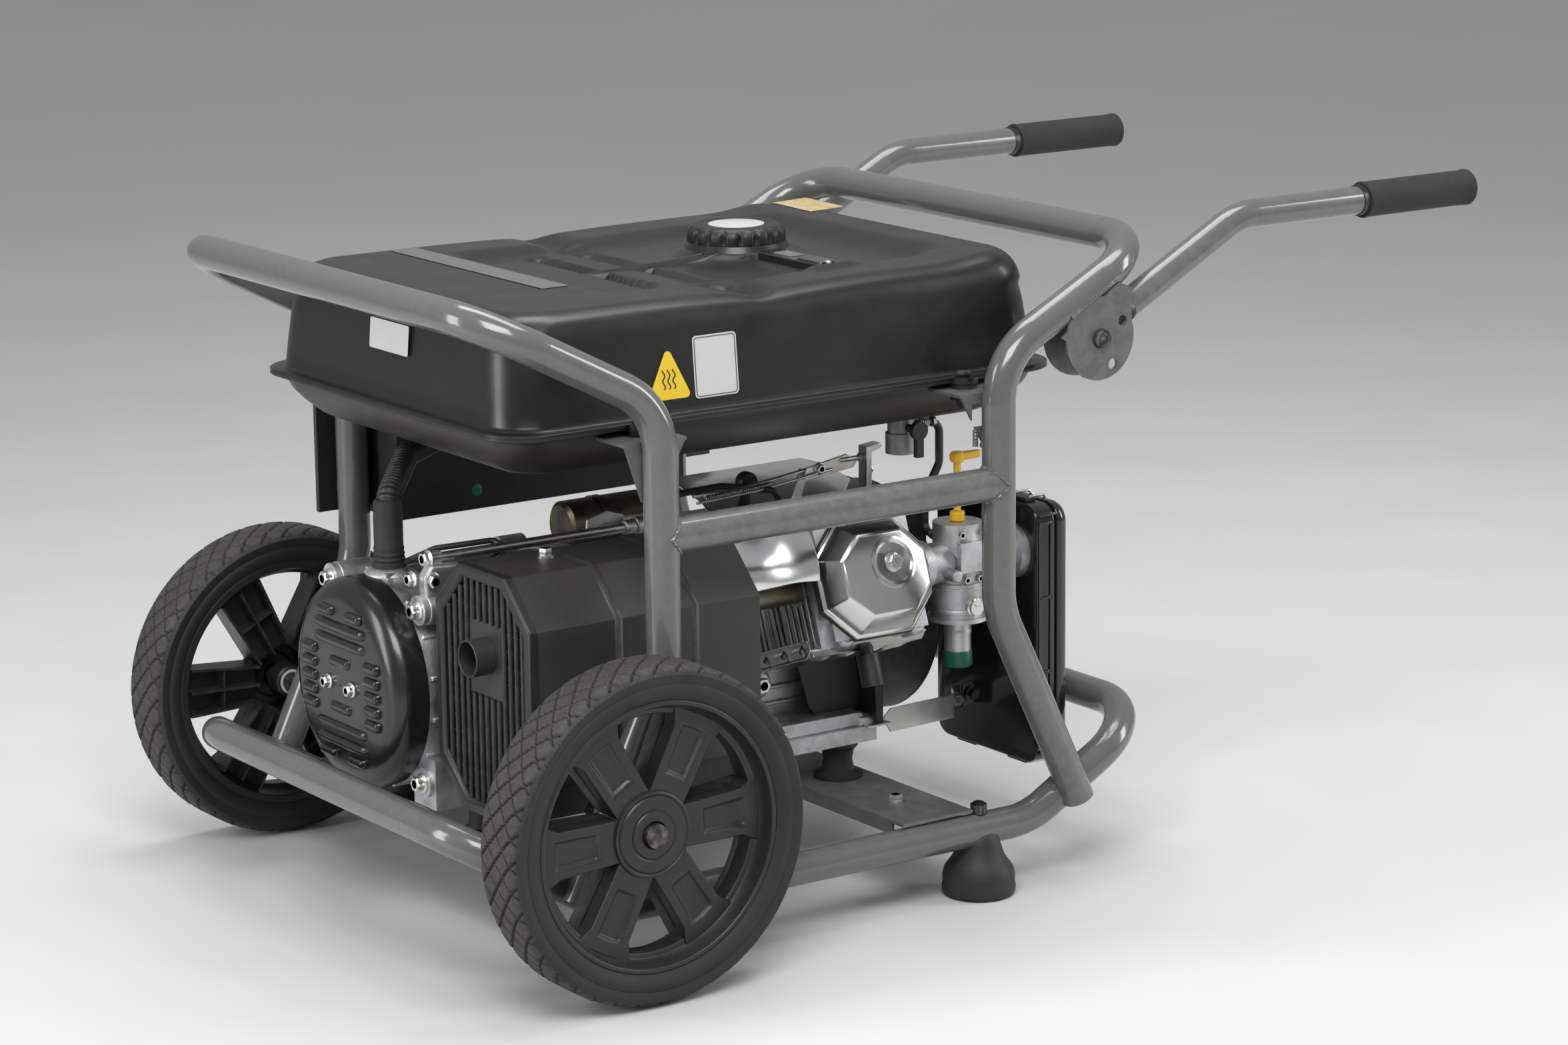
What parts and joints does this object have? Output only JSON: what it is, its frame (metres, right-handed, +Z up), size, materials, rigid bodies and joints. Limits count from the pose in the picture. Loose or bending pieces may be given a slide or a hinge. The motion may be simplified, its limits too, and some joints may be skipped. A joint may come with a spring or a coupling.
{
  "type": "portable generator",
  "caption": "Open-frame portable generator with folding handles, transport wheels, black fuel tank, OHV engine, alternator, muffler and control panel.",
  "frame": {"origin": "on the ground, under the middle of the whole object", "axes": "+X along the crankshaft towards the handles, +Y across towards the control panel side, +Z up"},
  "size_m": [1.1788, 0.736, 0.644],
  "materials": {
    "frame_paint": "satin grey enamel over steel tube",
    "bracket_paint": "satin grey enamel on pressed steel",
    "tank_paint": "satin black enamel on pressed steel",
    "tank_under": "matt black enamel on pressed steel",
    "zinc": "bright zinc-plated steel",
    "steel": "machined steel",
    "laminated": "varnished laminated iron with windings",
    "casting": "as-cast aluminium",
    "black_sheet": "satin black enamel on sheet steel",
    "muffler_steel": "heat-darkened aluminised steel",
    "gloss_black": "glossy moulded plastic",
    "black_plastic": "moulded plastic with a light grain",
    "panel_plastic": "textured moulded plastic",
    "choke_yellow": "moulded yellow plastic",
    "strainer_white": "moulded nylon mesh",
    "switch_red": "moulded red plastic",
    "rubber": "moulded black rubber",
    "grip_foam": "close-cell black foam",
    "tyre": "dusty solid rubber tyre"
  },
  "bodies": {
    "frame": {"base_loop": "frame_paint", "left_hoop": "frame_paint", "right_hoop": "frame_paint", "mid_rail": "frame_paint", "cross_members": "frame_paint", "tank_brackets": "bracket_paint", "handle_plates": "frame_paint", "rubber_feet": "rubber", "frame_bolts": "zinc", "wheel_bolts": "zinc", "tank_upper": "tank_paint", "tank_lower": "tank_under", "tank_mounts": "rubber", "fuel_strainer": "strainer_white", "fuel_gauge": "black_plastic", "fuel_tap": "casting", "fuel_hose": "rubber", "crankcase": "casting", "cylinder_head": "casting", "rocker_cover": "zinc", "spark_plug": "rubber", "engine_shrouds": "zinc", "fan_housing": "black_sheet", "recoil_cover": "black_sheet", "stator": "laminated", "end_bracket": "casting", "end_cover": "black_sheet", "engine_adapter": "casting", "alternator_bolts": "zinc", "rubber_mounts": "rubber", "muffler": "muffler_steel", "muffler_shield": "black_sheet", "muffler_grille": "black_sheet", "air_box": "gloss_black", "air_box_cover": "gloss_black", "carburettor": "casting", "control_panel": "panel_plastic", "sockets": "black_plastic", "cable_conduit": "black_plastic"},
    "wheel_near": {"wheel_near": "black_plastic", "tyre_near": "tyre"},
    "wheel_far": {"wheel_far": "black_plastic", "tyre_far": "tyre"},
    "handle_near": {"handle_near": "frame_paint", "grip_near": "grip_foam"},
    "handle_far": {"handle_far": "frame_paint", "grip_far": "grip_foam"},
    "lock_near": {"lock_button_near": "zinc"},
    "lock_far": {"lock_button_far": "zinc"},
    "cap_seal": {"cap_gasket": "rubber"},
    "fuel_cap": {"fuel_cap": "black_plastic"},
    "float": {"float_arm": "strainer_white"},
    "tap": {"tap_lever": "black_plastic"},
    "crank": {"crankshaft": "steel", "flywheel": "laminated", "rotor": "laminated"},
    "pull": {"pull_handle": "black_plastic"},
    "choke": {"choke_lever": "choke_yellow"},
    "switch": {"engine_switch": "switch_red"},
    "breaker": {"breaker_button": "black_plastic"}
  },
  "joints": [
    {"name": "wheel_near_spin", "type": "hinge", "parent": "frame", "child": "wheel_near", "pos_m": [-0.43444, -0.336, 0.155], "axis": [0, 1, 0], "continuous": true},
    {"name": "wheel_far_spin", "type": "hinge", "parent": "frame", "child": "wheel_far", "pos_m": [-0.43444, 0.336, 0.155], "axis": [0, 1, 0], "continuous": true},
    {"name": "handle_near_fold", "type": "hinge", "parent": "frame", "child": "handle_near", "pos_m": [0.10944, -0.278, 0.529], "axis": [0, 1, 0], "range_deg": [0, 88]},
    {"name": "handle_far_fold", "type": "hinge", "parent": "frame", "child": "handle_far", "pos_m": [0.10944, 0.278, 0.529], "axis": [0, 1, 0], "range_deg": [0, 88]},
    {"name": "lock_near_out", "type": "slide", "parent": "handle_near", "child": "lock_near", "axis": [0, -1, 0], "range_m": [0, 0.005]},
    {"name": "lock_far_out", "type": "slide", "parent": "handle_far", "child": "lock_far", "axis": [0, 1, 0], "range_m": [0, 0.005]},
    {"name": "cap_lift", "type": "slide", "parent": "frame", "child": "cap_seal", "axis": [0, 0, 1], "range_m": [0, 0.06]},
    {"name": "cap_turn", "type": "hinge", "parent": "cap_seal", "child": "fuel_cap", "pos_m": [-0.08656, 0.022, 0.598], "axis": [0, 0, 1], "range_deg": [0, 90]},
    {"name": "float_rise", "type": "hinge", "parent": "frame", "child": "float", "pos_m": [-0.09156, -0.092, 0.579], "axis": [0, 1, 0], "range_deg": [0, 18]},
    {"name": "tap_turn", "type": "hinge", "parent": "frame", "child": "tap", "pos_m": [0.00544, -0.12, 0.43], "axis": [0, 1, 0], "range_deg": [0, 90]},
    {"name": "crank_turn", "type": "hinge", "parent": "frame", "child": "crank", "pos_m": [-0.18656, 0.024, 0.228], "axis": [1, 0, 0], "continuous": true},
    {"name": "pull_out", "type": "slide", "parent": "frame", "child": "pull", "axis": [1, 0, 0], "range_m": [0, 0.3], "stiffness_N_per_m": 20},
    {"name": "choke_turn", "type": "hinge", "parent": "frame", "child": "choke", "pos_m": [0.03344, -0.17291, 0.34], "axis": [0, 0, 1], "range_deg": [0, 70]},
    {"name": "switch_rock", "type": "hinge", "parent": "frame", "child": "switch", "pos_m": [-0.11456, 0.302, 0.384], "axis": [1, 0, 0], "range_deg": [-12, 12]},
    {"name": "breaker_press", "type": "slide", "parent": "frame", "child": "breaker", "axis": [0, -1, 0], "range_m": [0, 0.004]}
  ]
}
